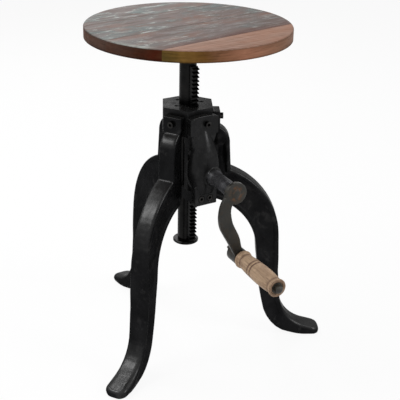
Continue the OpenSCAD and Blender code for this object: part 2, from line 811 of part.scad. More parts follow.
module spacer_collar() {
    color(worn_steel) at_crank() translate([0, 0, barrel_l + gap]) difference() {
        cylinder(r = barrel_r - 1, h = arm_back - barrel_l - gap);
        translate([0, 0, -1]) cylinder(d = shaft_d, h = arm_back - barrel_l + 1);
    }
}

// The arm seen from outside, with the crank's axis at the origin: a boss, a bend and a
// straight that leaves the bend where it points at the grip's axis
to_grip = grip_at - arm_bend;
bend_top = acos(-arm_bend[0] / norm(arm_bend));
bend_low = 360 + atan2(to_grip[1], to_grip[0]) - acos(bend_r / norm(to_grip));

module arm_bar() {
    side = arm_w / 2 * [cos(bend_low), sin(bend_low)];
    cylinder(r = arm_boss_r, h = arm_t);
    linear_extrude(height = arm_t) polygon(concat(
        arc(arm_bend, bend_r + arm_w / 2, bend_top, bend_low, 20),
        [grip_at + 0.85 * side, grip_at - 0.85 * side],
        arc(arm_bend, bend_r - arm_w / 2, bend_low, bend_top, 20)
    ));
}

module crank_arm() {
    color(worn_steel) at_crank() difference() {
        union() {
            translate([0, 0, arm_back]) arm_bar();
            translate([grip_at[0], grip_at[1], arm_front - grip_boss_l])
                cylinder(r = grip_boss_r, h = grip_boss_l);
        }
        translate([0, 0, arm_back - 1]) cylinder(r = stem_r, h = arm_t + 2);
        translate([grip_at[0], grip_at[1], 0]) cylinder(d = rod_d, h = arm_front + 1);
    }
}

module at_grip() {
    at_crank() translate([grip_at[0], grip_at[1], 0]) children();
}

// ---------------------------------------------------------------- grip
module grip_rod() {
    color(worn_steel) at_grip() {
        translate([0, 0, arm_front - rod_tail + 5])
            cylinder(d = rod_d, h = grip_end() - arm_front + rod_tail - 2);
        translate([0, 0, arm_front - rod_tail]) cylinder(d = rod_d - 3, h = 5);
    }
}

function grip_end() = grip_start + grip_l;

module grip_washer() {
    color(worn_steel) at_grip() translate([0, 0, arm_front]) difference() {
        cylinder(r = rod_d / 2 + 4, h = 1.3);
        translate([0, 0, -1]) cylinder(d = rod_d, h = 4);
    }
}

module end_washer() {
    color(worn_steel) at_grip() translate([0, 0, grip_end() - end_recess[1] + gap]) difference() {
        cylinder(r = end_recess[0] - 1, h = 1.2);
        translate([0, 0, -1]) cylinder(d = rod_d, h = 4);
    }
}

module grip_nut() {
    z0 = grip_end() - end_recess[1] + gap + 1.2;
    color([0.42, 0.44, 0.38]) at_grip() difference() {
        translate([0, 0, z0]) union() {
            cylinder(r = nut_r, h = 6);
            translate([0, 0, 6]) intersection() {
                cylinder(r = nut_r, h = 4);
                translate([0, 0, -nut_r * 0.6]) sphere(r = nut_r * 1.17);
            }
        }
        translate([0, 0, z0 - 1]) cylinder(d = rod_d, h = grip_end() + 3 - z0 + 1);
    }
}

// Turned grip: a collar bead, two cut grooves, a belly and a flared lip with a sunk end
module grip() {
    r = grip_d / 2;
    l = grip_l;
    groove = 0.8;
    outline = [
        [0, 0], [r - 2.4, 0], [r - 1, 1.2], [r - 0.3, 3.4], [r - 0.8, 5.8], [r - 2.2, 7.4],
        [r - 3.2, 8.6], [r - 2.8, 11], [r - 1.9, l * 0.18], [r - 1.1, l * 0.28],
        [r - 0.8, l * 0.35], [r - 0.8 - groove, l * 0.36], [r - 0.7, l * 0.37],
        [r - 0.5, l * 0.41], [r - 0.5 - groove, l * 0.42], [r - 0.4, l * 0.43],
        [r - 0.1, l * 0.52], [r, l * 0.6], [r - 0.5, l * 0.74], [r - 1.4, l * 0.85],
        [r - 2.4, l * 0.92], [r - 2.6, l * 0.945], [r - 1.7, l * 0.955], [r - 0.8, l * 0.97],
        [r - 0.7, l * 0.985], [r - 1.2, l * 0.995], [r - 2, l], [end_recess[0] + 1, l],
        [end_recess[0], l - 1], [end_recess[0], l - end_recess[1]], [0, l - end_recess[1]]
    ];
    color(grip_wood) at_grip() translate([0, 0, grip_start]) difference() {
        rotate_extrude() polygon(outline);
        translate([0, 0, -1]) cylinder(r = rod_d / 2 + run_fit, h = l + 2);
    }
}

color("sienna") plank(0);  // seat_plank_front
color("rosybrown") plank(1);  // seat_plank_mid_front
color("slategray") plank(2);  // seat_plank_mid_rear
color("cadetblue") plank(3);  // seat_plank_rear
seat_flange();
seat_screws();
swivel_bush();
post_bar();
rack_strip();
stop_disc();
stop_screw();
thrust_washer();
retaining_washer();
retaining_bolt();
hex_head();
guide_ring();
placed_leg(0);  // leg_left
placed_leg(1);  // leg_right
placed_leg(2);  // leg_rear
leg_bolts();
gear_housing();
housing_bolt();
lower_guide();
guide_screws();
gear_axle();
bush(inner_bush[0], inner_bush[1]);  // shaft_bush_inner
bush(barrel_l - outer_bush_l, outer_bush_l);  // shaft_bush_outer
rack_gear();
crank_shaft();
worm();
worm_pin();
spacer_collar();
crank_arm();
grip_rod();
grip_washer();
end_washer();
grip_nut();
grip();
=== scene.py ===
import json
import math

import bpy
from mathutils import Matrix, Vector

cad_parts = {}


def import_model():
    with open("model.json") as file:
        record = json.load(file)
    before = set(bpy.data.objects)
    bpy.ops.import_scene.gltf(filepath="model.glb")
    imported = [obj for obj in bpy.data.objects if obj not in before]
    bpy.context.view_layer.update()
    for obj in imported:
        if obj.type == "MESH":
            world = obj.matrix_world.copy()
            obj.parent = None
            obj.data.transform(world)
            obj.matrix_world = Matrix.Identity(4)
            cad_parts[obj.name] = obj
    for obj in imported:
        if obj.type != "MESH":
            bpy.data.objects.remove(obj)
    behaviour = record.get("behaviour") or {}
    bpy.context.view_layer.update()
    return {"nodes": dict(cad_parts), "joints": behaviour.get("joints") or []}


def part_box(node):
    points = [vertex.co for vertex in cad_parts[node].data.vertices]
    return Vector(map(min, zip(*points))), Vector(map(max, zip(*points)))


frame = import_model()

MM = 0.001


# ------------------------------------------------------------------ node trees
class Tree:
    """A node tree, with short calls that make its nodes and join them."""

    def __init__(self, tree):
        self.tree = tree
        self.tree.nodes.clear()

    def node(self, kind, **settings):
        made = self.tree.nodes.new(kind)
        for key, value in settings.items():
            setattr(made, key, value)
        return made

    def feed(self, socket, value):
        """Joins an output to a socket, or writes a constant on it."""
        if isinstance(value, bpy.types.NodeSocket):
            self.tree.links.new(value, socket)
        else:
            socket.default_value = value

    def math(self, operation, a, b=0.0, clamp=False):
        made = self.node("ShaderNodeMath", operation=operation, use_clamp=clamp)
        self.feed(made.inputs[0], a)
        self.feed(made.inputs[1], b)
        return made.outputs[0]

    def vector(self, operation, a, b=None):
        made = self.node("ShaderNodeVectorMath", operation=operation)
        self.feed(made.inputs[0], a)
        if b is not None:
            self.feed(made.inputs["Scale" if operation == "SCALE" else 1], b)
        return made.outputs["Value" if operation in ("DOT_PRODUCT", "LENGTH") else "Vector"]

    def seen(self):
        """1 where the camera, a reflection or a look through glass sees it, and 0 for its light."""
        rays = self.node("ShaderNodeLightPath").outputs
        direct = self.math("MAXIMUM", rays["Is Camera Ray"], rays["Is Glossy Ray"])
        return self.math("MAXIMUM", direct, rays["Is Transmission Ray"])

    def blend(self, share, first, second):
        """One shader turning into another as the share goes from 0 to 1."""
        made = self.node("ShaderNodeMixShader")
        self.feed(made.inputs[0], share)
        self.feed(made.inputs[1], first)
        self.feed(made.inputs[2], second)
        return made.outputs["Shader"]


class Finish(Tree):
    """A material with a Principled shader."""

    def __init__(self, name):
        self.material = bpy.data.materials.new(name)
        self.material.use_nodes = True
        super().__init__(self.material.node_tree)
        self.output = self.node("ShaderNodeOutputMaterial")
        self.shader = self.node("ShaderNodeBsdfPrincipled")
        self.feed(self.output.inputs["Surface"], self.shader.outputs["BSDF"])

    def set(self, **inputs):
        """Feeds the shader's own sockets: Base_Color=..., Roughness=..."""
        for key, value in inputs.items():
            self.feed(self.shader.inputs[key.replace("_", " ")], value)

    def place(self, scale=(1, 1, 1), turn=0, shift=(0, 0, 0), source=None):
        """Object coordinates, turned about Z by so many degrees, shifted and then scaled."""
        if source is None:
            source = self.node("ShaderNodeTexCoord").outputs["Object"]
        turned = self.node("ShaderNodeMapping", vector_type="POINT")
        self.feed(turned.inputs["Vector"], source)
        turned.inputs["Rotation"].default_value = (0, 0, math.radians(-turn))
        turned.inputs["Location"].default_value = shift
        scaled = self.node("ShaderNodeMapping", vector_type="POINT")
        self.feed(scaled.inputs["Vector"], turned.outputs["Vector"])
        scaled.inputs["Scale"].default_value = scale
        return scaled.outputs["Vector"]

    def noise(self, where, scale, detail=4.0, rough=0.5, warp=0.0):
        """Cloudy noise from 0 to 1; the scale is in lumps per metre of its coordinates."""
        made = self.node("ShaderNodeTexNoise", noise_dimensions="3D")
        self.feed(made.inputs["Vector"], where)
        self.feed(made.inputs["Scale"], scale)
        self.feed(made.inputs["Detail"], detail)
        self.feed(made.inputs["Roughness"], rough)
        self.feed(made.inputs["Distortion"], warp)
        return made.outputs["Fac"]

    def ramp(self, value, *stops):
        """Colours or greys along a value: each stop is (position, colour or grey)."""
        made = self.node("ShaderNodeValToRGB")
        band = made.color_ramp
        while len(band.elements) < len(stops):
            band.elements.new(0.5)
        for element, (position, colour) in zip(band.elements, stops):
            element.position = position
            grey = not isinstance(colour, tuple)
            element.color = (colour,) * 3 + (1,) if grey else colour + (1,)
        self.feed(made.inputs["Fac"], value)
        return made.outputs["Color"]

    def mix(self, value, low, high, blend="MIX"):
        """The low colour turning into the high one as the value goes from 0 to 1."""
        made = self.node("ShaderNodeMix", data_type="RGBA", blend_type=blend)
        self.feed(made.inputs[0], value)
        self.feed(made.inputs[6], low + (1,) if isinstance(low, tuple) else low)
        self.feed(made.inputs[7], high + (1,) if isinstance(high, tuple) else high)
        return made.outputs[2]

    def times(self, colour, shade):
        """A colour darkened by a grey from 0 to 1."""
        return self.mix(1.0, colour, shade, "MULTIPLY")

    def axis(self, where, index):
        """The X, Y or Z of a vector, by its index."""
        made = self.node("ShaderNodeSeparateXYZ")
        self.feed(made.inputs[0], where)
        return made.outputs[index]

    def upward(self, normal):
        """The upward part of the named normal: 1 on level tops and 0 on upright sides."""
        return self.axis(self.node("ShaderNodeNewGeometry").outputs[normal], 2)

    def bump(self, height, distance, strength=1.0, under=None):
        """A normal bent by a height from 0 to 1, on top of another normal."""
        made = self.node("ShaderNodeBump")
        made.inputs["Strength"].default_value = strength
        made.inputs["Distance"].default_value = distance
        self.feed(made.inputs["Height"], height)
        if under is not None:
            self.feed(made.inputs["Normal"], under)
        return made.outputs["Normal"]


class Field(Tree):
    """A geometry modifier that first welds points closer together than a distance."""

    def __init__(self, name, weld):
        super().__init__(bpy.data.node_groups.new(name, "GeometryNodeTree"))
        for way in ("INPUT", "OUTPUT"):
            self.tree.interface.new_socket("Geometry", in_out=way, socket_type="NodeSocketGeometry")
        start = self.node("NodeGroupInput")
        self.end = self.node("NodeGroupOutput")
        merge = self.node("GeometryNodeMergeByDistance")
        self.feed(merge.inputs["Geometry"], start.outputs[0])
        self.feed(merge.inputs["Distance"], weld)
        self.welded = merge.outputs[0]

    def fade(self, value, none, full):
        """0 at one value, 1 at the other and smooth between them."""
        made = self.node("ShaderNodeMapRange", interpolation_type="SMOOTHSTEP")
        self.feed(made.inputs["Value"], value)
        self.feed(made.inputs["From Min"], none)
        self.feed(made.inputs["From Max"], full)
        return made.outputs["Result"]

    def move(self, *steps):
        """Moves every point by the sum of the steps, each (direction, distance)."""
        total = (0, 0, 0)
        for direction, distance in steps:
            total = self.vector("ADD", self.vector("SCALE", direction, distance), total)
        put = self.node("GeometryNodeSetPosition")
        self.feed(put.inputs["Geometry"], self.welded)
        self.feed(put.inputs["Offset"], total)
        self.feed(self.end.inputs[0], put.outputs[0])
        return self.tree


# ------------------------------------------------------------------ places on the stool
def joint(name, key):
    return Vector(next(entry[key] for entry in frame["joints"] if entry["name"] == name))


SEAT_R = -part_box("seat_plank_front")[0].y
SEAT_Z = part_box("seat_plank_front")[0].z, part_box("seat_plank_front")[1].z
PLANK_TURN = 8.8            # degrees about Z, the run of the seat's boards
FRONT_SEAM = -0.0965        # metres across the boards from the seat's middle
CRANK_AT = joint("crank_turn", "pos_m")
CRANK_AXIS = joint("crank_turn", "axis")


def crank_span(node):
    """Where a node starts and ends along the crank's axis, in metres from the gear."""
    low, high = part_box(node)
    return sorted((y - CRANK_AT.y) / CRANK_AXIS.y for y in (low.y, high.y))


def crank_run(f):
    """(distance along the crank's axis, distance from it) of a point, in metres."""
    where = f.place(shift=-CRANK_AT)
    run = f.vector("DOT_PRODUCT", where, CRANK_AXIS)
    return run, f.vector("LENGTH", f.vector("CROSS_PRODUCT", where, CRANK_AXIS))


def round_crank(f, *stops):
    """Greys by the distance from the crank's axis: each stop is (millimetres, grey)."""
    reach = 20
    share = f.math("DIVIDE", crank_run(f)[1], reach * MM)
    return f.ramp(share, *[(distance / reach, grey) for distance, grey in stops])


def along(f, where, index, start, stop):
    """0 to 1 between two places on one axis, in metres."""
    return f.math("DIVIDE", f.math("SUBTRACT", f.axis(where, index), start), stop - start, clamp=True)


# ------------------------------------------------------------------ metal
def cast_iron(name, wear):
    """Waxed black paint on sand-cast iron. What faces up is painted lighter grey as a painted highlight;
    the rest is lightened by the share given as wear.
    """
    f = Finish(name)
    where = f.place()
    clouds = f.noise(where, 24, 6, 0.65, 0.4)
    smears = f.noise(f.place((1, 1, 0.45)), 58, 6, 0.7, 0.8)
    grit = f.noise(where, 640, 3, 0.6)
    dents = f.noise(where, 72, 4, 0.55)
    paint = f.ramp(clouds, (0.30, (0.0075, 0.0075, 0.0080)), (0.70, (0.0165, 0.0165, 0.0172)))
    rubbed = f.ramp(f.noise(where, 44, 6, 0.7, 0.5), (0.55, 0.0), (0.75, 0.5))
    colour = f.mix(rubbed, paint, (0.0560, 0.0545, 0.0540))
    # painted highlight: faces that point up are painted the lighter grey below; the share given as wear
    # lightens every face
    up = f.ramp(f.upward("Normal"), (0.22, 0.0), (0.75, 1.0))
    bare = f.ramp(clouds, (0.30, 0.028), (0.70, 0.052))
    colour = f.mix(f.math("MAXIMUM", up, wear), colour, bare)
    # the case's barrel round the crank shaft is rubbed brightest and painted brighter still, a painted
    # highlight
    barrel = round_crank(f, (12.8, 0.9), (14.8, 0.0))
    barrel = f.math("MULTIPLY", barrel, f.ramp(smears, (0.36, 0.65), (0.60, 1.0)))
    colour = f.mix(barrel, colour, (0.105, 0.105, 0.112))
    shine = f.ramp(smears, (0.30, 0.17), (0.50, 0.27), (0.70, 0.44))
    normal = f.bump(dents, 0.8 * MM, 0.45)
    normal = f.bump(grit, 0.09 * MM, 0.8, normal)
    f.set(Base_Color=colour, Roughness=shine, Metallic=0.6, Normal=normal)
    f.set(Specular_Tint=(0.5, 0.5, 0.5, 1), Specular_IOR_Level=0.0)
    return f.material


def black_steel():
    """Turned and milled steel, blackened and lightly greased."""
    f = Finish("black_steel")
    where = f.place()
    rings = f.place((0.15, 0.15, 6))
    tone = f.noise(where, 40, 5, 0.6)
    colour = f.ramp(tone, (0.3, (0.0060, 0.0060, 0.0063)), (0.75, (0.0160, 0.0155, 0.0150)))
    shine = f.ramp(f.noise(rings, 120, 4, 0.6), (0.3, 0.20), (0.7, 0.38))
    normal = f.bump(f.noise(rings, 180, 3, 0.5), 0.05 * MM, 0.5)
    normal = f.bump(f.noise(where, 500, 3, 0.6), 0.06 * MM, 0.5, normal)
    f.set(Base_Color=colour, Roughness=shine, Metallic=1.0, Normal=normal)
    f.set(Specular_Tint=(0.8, 0.8, 0.8, 1))
    return f.material


def black_screw():
    """Blackened socket screws with a greasy shine."""
    f = Finish("black_screw")
    where = f.place()
    tone = f.noise(where, 160, 4, 0.6)
    colour = f.ramp(tone, (0.3, (0.0100, 0.0100, 0.0100)), (0.75, (0.0420, 0.0400, 0.0380)))
    shine = f.ramp(f.noise(where, 240, 4, 0.6), (0.3, 0.18), (0.7, 0.36))
    normal = f.bump(f.noise(where, 700, 3, 0.6), 0.06 * MM, 0.5)
    f.set(Base_Color=colour, Roughness=shine, Metallic=1.0, Normal=normal)
    f.set(Specular_Tint=(0.8, 0.8, 0.8, 1))
    return f.material


def worn_steel():
    """Forged steel gone dark, with a brown bloom and a ring of rust round the end of the shaft."""
    f = Finish("worn_steel")
    where = f.place()
    bloom = f.ramp(f.noise(where, 70, 6, 0.65), (0.42, 0.0), (0.68, 0.8))
    tone = f.noise(where, 34, 5, 0.6)
    dark = f.ramp(tone, (0.3, (0.019, 0.019, 0.017)), (0.7, (0.038, 0.037, 0.033)))
    colour = f.mix(bloom, dark, (0.040, 0.030, 0.020))
    rust = f.ramp(f.noise(where, 150, 6, 0.7), (0.46, 0.0), (0.60, 0.9))
    ring = round_crank(f, (4.4, 0.0), (6.8, 0.75), (10.4, 0.75), (14.4, 0.0))
    colour = f.mix(f.math("MULTIPLY", rust, ring), colour, (0.115, 0.048, 0.016))
    shine = f.ramp(f.noise(where, 110, 5, 0.6), (0.3, 0.34), (0.7, 0.56))
    normal = f.bump(f.noise(where, 75, 3, 0.5), 0.8 * MM, 0.35)
    normal = f.bump(f.noise(where, 700, 3, 0.6), 0.1 * MM, 0.6, normal)
    f.set(Base_Color=colour, Roughness=shine, Metallic=0.6, Normal=normal)
    return f.material


def bright_steel():
    """Machined steel, satin, with a thin film of oil."""
    f = Finish("bright_steel")
    where = f.place()
    tone = f.noise(where, 50, 5, 0.6)
    colour = f.ramp(tone, (0.3, (0.30, 0.30, 0.31)), (0.75, (0.46, 0.46, 0.47)))
    shine = f.ramp(f.noise(where, 160, 4, 0.6), (0.3, 0.26), (0.7, 0.42))
    normal = f.bump(f.noise(where, 800, 2, 0.5), 0.04 * MM, 0.6)
    f.set(Base_Color=colour, Roughness=shine, Metallic=1.0, Normal=normal)
    return f.material


def bronze():
    """Bearing bronze, dulled."""
    f = Finish("bronze")
    where = f.place()
    tone = f.noise(where, 60, 5, 0.6)
    colour = f.ramp(tone, (0.3, (0.30, 0.19, 0.08)), (0.75, (0.52, 0.36, 0.17)))
    shine = f.ramp(f.noise(where, 160, 4, 0.6), (0.3, 0.32), (0.7, 0.5))
    normal = f.bump(f.noise(where, 900, 2, 0.5), 0.04 * MM, 0.6)
    f.set(Base_Color=colour, Roughness=shine, Metallic=1.0, Normal=normal)
    return f.material


def nut_paint():
    """Dull dark paint, chipped and browned."""
    f = Finish("nut_paint")
    where = f.place()
    chips = f.ramp(f.noise(where, 240, 5, 0.7), (0.52, 0.0), (0.62, 1.0))
    colour = f.mix(chips, (0.015, 0.013, 0.008), (0.046, 0.036, 0.024))
    shine = f.ramp(f.noise(where, 200, 4, 0.6), (0.3, 0.4), (0.7, 0.6))
    normal = f.bump(f.noise(where, 420, 4, 0.6), 0.15 * MM, 0.6)
    f.set(Base_Color=colour, Roughness=shine, Metallic=0.0, Normal=normal)
    return f.material


# ------------------------------------------------------------------ wood
def board(f, seed):
    """The grain of a board: (rings 0..1, pores 0..1, where) in the board's own directions."""
    where = f.place(turn=PLANK_TURN, shift=(0, 0, seed))
    long_grain = f.place((2.2, 26, 26), source=where)
    wander = f.noise(f.place((3, 10, 10), source=where), 1.0, 3, 0.5)
    rings = f.noise(long_grain, 4.0, 6.0, 0.62, f.math("MULTIPLY", wander, 0.8))
    pores = f.noise(f.place((14, 420, 420), source=where), 3.0, 3, 0.7)
    return rings, pores, where


def sawn_rim(f, where, rings, stops):
    """The seat's sawn rim. Its colour changes along the board and follows the growth rings.

    Each stop is (metres along the board from the seat's middle, colour)."""
    wavy = f.noise(f.place((16, 16, 60), source=where), 1.0, 4, 0.6)
    wander = f.math("MULTIPLY", f.math("SUBTRACT", wavy, 0.5), 0.10)
    run = f.math("ADD", along(f, where, 0, -SEAT_R, SEAT_R), wander)
    colour = f.ramp(run, *[(0.5 + place / (2 * SEAT_R), tone) for place, tone in stops])
    lines = f.noise(f.place((9, 9, 230), source=where), 1.2, 5, 0.65, 1.2)
    colour = f.times(colour, f.ramp(lines, (0.30, 0.40), (0.48, 0.90), (0.70, 1.0)))
    height = along(f, f.place(), 2, *SEAT_Z)
    # the rim is darker towards its bottom and towards its top edge
    darker_at_bottom_and_top = f.ramp(height, (0.0, 0.40), (0.16, 1.0), (0.84, 1.0), (0.97, 0.62))
    colour = f.times(colour, darker_at_bottom_and_top)
    return f.times(colour, f.ramp(rings, (0.30, 0.70), (0.70, 1.0)))


def side_faces(f):
    """1 on upright faces and 0 on the top."""
    return f.ramp(f.upward("True Normal"), (0.45, 1.0), (0.62, 0.0))


def bare_board(name, seed, stops):
    """Bare hardwood, sanded and oiled, with fine saw marks across the top."""
    f = Finish(name)
    rings, pores, where = board(f, seed)
    colour = f.ramp(rings, (0.30, (0.160, 0.080, 0.052)), (0.68, (0.275, 0.165, 0.120)))
    patches = f.noise(f.place((9, 22, 22), source=where), 1.4, 5, 0.6)
    colour = f.mix(f.ramp(patches, (0.42, 0.0), (0.66, 0.8)), colour, (0.275, 0.140, 0.092))
    colour = f.mix(f.ramp(pores, (0.55, 0.0), (0.75, 0.6)), colour, (0.095, 0.046, 0.032))
    saw = f.noise(f.place((420, 34, 34), 32, source=where), 1.0, 3, 0.65)
    colour = f.mix(f.ramp(saw, (0.42, 0.0), (0.72, 0.55)), colour, (0.380, 0.265, 0.215))
    colour = f.mix(side_faces(f), colour, sawn_rim(f, where, rings, stops))
    shine = f.ramp(rings, (0.3, 0.62), (0.7, 0.48))
    normal = f.bump(saw, 0.14 * MM, 0.5)
    normal = f.bump(pores, 0.10 * MM, 0.6, normal)
    f.set(Base_Color=colour, Roughness=shine, Metallic=0.0, Normal=normal)
    f.set(Specular_IOR_Level=0.03)
    return f.material


def scraped_rim(f, where, scraped):
    """Where old paint is scraped pale: a thin strip of the top along the front left of the rim."""
    radius = f.vector("LENGTH", f.place((1, 1, 0)))
    edge = f.ramp(f.math("DIVIDE", radius, SEAT_R), (0.93, 0.0), (0.985, 0.75))
    left = f.ramp(along(f, where, 0, -SEAT_R, SEAT_R), (0.05, 1.0), (0.42, 0.0))
    front_end = 20 * MM
    front = f.ramp(along(f, where, 1, FRONT_SEAM, front_end), (0.4, 1.0), (0.95, 0.0))
    strokes = f.ramp(scraped, (0.36, 0.2), (0.5, 1.0))
    return f.math("MULTIPLY", f.math("MULTIPLY", edge, left), f.math("MULTIPLY", front, strokes))


def seam_band(f, where, streaks):
    """A ragged dark reddish-brown band behind the front seam."""
    band = 35 * MM
    ragged = f.math("MULTIPLY", f.math("SUBTRACT", f.noise(streaks, 2.0, 4, 0.6), 0.5), 0.5)
    share = f.math("ADD", along(f, where, 1, FRONT_SEAM, FRONT_SEAM + band), ragged)
    return f.ramp(share, (0.15, 0.75), (0.75, 0.0))


def painted_board(name, seed, teal, stops):
    """Reclaimed board with worn layers of old paint on its top and bare wood on its edge."""
    f = Finish(name)
    rings, pores, where = board(f, seed)
    colour = f.ramp(rings, (0.3, (0.072, 0.048, 0.042)), (0.7, (0.140, 0.100, 0.088)))
    streaks = f.place((6, 30, 30), -4, source=where)
    taupe = f.ramp(f.noise(streaks, 1.5, 7, 0.66, 0.9), (0.38, 0.0), (0.60, 0.85))
    colour = f.mix(taupe, colour, (0.132, 0.108, 0.102))
    patches = f.noise(f.place((7, 20, 20), shift=(4, 1, 2), source=where), 1.2, 5, 0.6)
    colour = f.mix(f.ramp(patches, (0.50, 0.0), (0.68, 0.55)), colour, (0.200, 0.090, 0.060))
    blotches = f.noise(f.place((8, 19, 19), -4, source=where), 1.2, 6, 0.7, 1.1)
    green = f.ramp(blotches, (0.46, 0.0), (0.62, teal))
    colour = f.mix(green, colour, (0.100, 0.124, 0.120))
    scraped = f.noise(f.place((12, 58, 58), -6, (1, 7, 3), source=where), 1.5, 8, 0.74, 1.6)
    near_green = f.ramp(green, (0.0, 0.30), (0.5, 1.0))
    white = f.math("MULTIPLY", f.ramp(scraped, (0.53, 0.0), (0.63, 1.0)), near_green)
    colour = f.mix(white, colour, (0.360, 0.370, 0.355))
    colour = f.mix(scraped_rim(f, where, scraped), colour, (0.340, 0.360, 0.330))
    colour = f.mix(seam_band(f, where, streaks), colour, (0.085, 0.034, 0.024))
    colour = f.mix(side_faces(f), colour, sawn_rim(f, where, rings, stops))
    colour = f.mix(f.ramp(pores, (0.58, 0.0), (0.8, 0.5)), colour, (0.045, 0.028, 0.022))
    shine = f.ramp(f.noise(streaks, 3.0, 4, 0.6), (0.3, 0.46), (0.7, 0.66))
    relief = f.mix(0.5, f.ramp(scraped, (0.5, 0.0), (0.68, 1.0)), rings)
    normal = f.bump(relief, 0.45 * MM, 0.6)
    normal = f.bump(pores, 0.12 * MM, 0.6, normal)
    f.set(Base_Color=colour, Roughness=shine, Metallic=0.0, Normal=normal)
    f.set(Specular_IOR_Level=0.04)
    return f.material


def grip_wood():
    """Turned pale hardwood, with two dark turned lines, a stained collar and hand wear."""
    f = Finish("grip_wood")
    where = f.place(turn=math.degrees(math.atan2(CRANK_AXIS.y, CRANK_AXIS.x)))
    grain = f.noise(f.place((5, 60, 60), source=where), 4.0, 6, 0.62, 0.5)
    pores = f.noise(f.place((16, 420, 420), source=where), 2.0, 3, 0.7)
    colour = f.ramp(grain, (0.3, (0.320, 0.210, 0.132)), (0.7, (0.600, 0.420, 0.275)))
    colour = f.mix(f.ramp(pores, (0.52, 0.0), (0.72, 0.8)), colour, (0.160, 0.095, 0.058))
    stain = f.ramp(f.noise(where, 55, 5, 0.65), (0.48, 0.0), (0.72, 0.6))
    colour = f.mix(stain, colour, (0.230, 0.140, 0.090))
    start, stop = crank_span("grip")
    run = f.math("DIVIDE", f.math("SUBTRACT", crank_run(f)[0], start), stop - start, clamp=True)
    # by share of the grip's length: its inner end, collar, two turned lines, bead and outer end
    lines = f.ramp(run, (0.0, 0.6), (0.03, 0.0), (0.085, 0.0), (0.12, 0.7), (0.15, 0.0),
                   (0.335, 0.0), (0.36, 1.0), (0.385, 0.0), (0.405, 0.0), (0.43, 1.0), (0.455, 0.0),
                   (0.86, 0.0), (0.89, 0.6), (0.92, 0.0), (0.96, 0.0), (0.99, 0.9))
    colour = f.mix(lines, colour, (0.070, 0.026, 0.018))
    shine = f.ramp(grain, (0.3, 0.68), (0.7, 0.54))
    normal = f.bump(pores, 0.16 * MM, 0.7)
    normal = f.bump(lines, -0.6 * MM, 0.8, normal)
    f.set(Base_Color=colour, Roughness=shine, Metallic=0.0, Normal=normal)
    f.set(Specular_IOR_Level=0.3)
    return f.material


def paint(material, *nodes):
    """Puts a material on nodes, in place of the CAD model's."""
    for name in nodes:
        node = frame["nodes"][name]
        if not node.material_slots:
            node.data.materials.append(material)
        for holder in node.material_slots:
            holder.link = "OBJECT"
            holder.material = material


# ------------------------------------------------------------------ forms
LEG_WIDER = 0.22                    # share of a leg's width added below the knee
LEG_WIDENS = (250 * MM, 140 * MM)   # heights between which it comes in
ANKLE = (212.5 * MM, 74 * MM)       # middle of the ankle's bend: distance from the post, height
ANKLE_BACK = 74 * MM                # distance from there to the back of the ankle
BACK_GROWS = 4 * MM
FRONT_GROWS = 2 * MM
ARM_WIDER = 2.1 * MM                # added to each side of the crank arm
ARM_SHIFT = 3.3 * MM                # to the right
SMOOTH_BELOW = 28                   # degrees between two faces, for shading


def fuller_leg(azimuth):
    """A leg a little wider below the knee, and thicker at the ankle."""
    f = Field("fuller_leg", 0.01 * MM)
    here = f.node("GeometryNodeInputPosition").outputs[0]
    turn = math.radians(azimuth)
    out = (math.cos(turn), math.sin(turn), 0)
    side = (-math.sin(turn), math.cos(turn), 0)
    up = (0, 0, 1)
    r, across, z = [f.vector("DOT_PRODUCT", here, direction) for direction in (out, side, up)]
    widen = f.math("MULTIPLY", across, f.math("MULTIPLY", f.fade(z, *LEG_WIDENS), LEG_WIDER))
    # the ankle grows along the lines out of the middle of its bend
    dr = f.math("SUBTRACT", r, ANKLE[0])
    dz = f.math("SUBTRACT", z, ANKLE[1])
    reach = f.math("SQRT", f.math("ADD", f.math("MULTIPLY", dr, dr), f.math("MULTIPLY", dz, dz)))
    level = f.math("DIVIDE", dr, reach)
    slope = f.math("DIVIDE", dz, reach)
    # its back grows away from the middle, but not up the shin or down where the sole is
    back = f.fade(reach, ANKLE_BACK - 16 * MM, ANKLE_BACK)
    back = f.math("MULTIPLY", back, f.fade(z, 150 * MM, 85 * MM))
    back = f.math("MULTIPLY", back, f.fade(slope, -0.985, -0.80))
    # its front grows towards the middle, but not up the shin or along the toe
    front = f.fade(reach, ANKLE_BACK - 6 * MM, ANKLE_BACK - 18 * MM)
    front = f.math("MULTIPLY", front, f.fade(z, 120 * MM, 60 * MM))
    front = f.math("MULTIPLY", front, f.fade(r, 236 * MM, 222 * MM))
    back = f.math("MULTIPLY", back, BACK_GROWS)
    front = f.math("MULTIPLY", front, FRONT_GROWS)
    grow = f.math("SUBTRACT", back, front)
    return f.move((side, widen), (out, f.math("MULTIPLY", grow, level)),
                  (up, f.math("MULTIPLY", grow, slope)))


def fuller_arm():
    """The crank arm wider between its boss and the grip's barrel, and set a little to the right."""
    f = Field("fuller_arm", 0.01 * MM)
    here = f.node("GeometryNodeInputPosition").outputs[0]
    strap = 1.0
    for turns, near, far in (("crank_turn", 16 * MM, 48 * MM), ("grip_turn", 13 * MM, 44 * MM)):
        offset = f.vector("SUBTRACT", here, joint(turns, "pos_m"))
        away = f.vector("LENGTH", f.vector("CROSS_PRODUCT", offset, CRANK_AXIS))
        strap = f.math("MULTIPLY", f.fade(away, near, far), strap)
    normal = f.node("GeometryNodeInputNormal").outputs[0]
    edge = f.vector("SUBTRACT", normal, f.vector("PROJECT", normal, CRANK_AXIS))
    right = (-CRANK_AXIS.y, CRANK_AXIS.x, 0)
    return f.move((edge, f.math("MULTIPLY", strap, ARM_WIDER)),
                  (right, f.math("MULTIPLY", strap, ARM_SHIFT)))


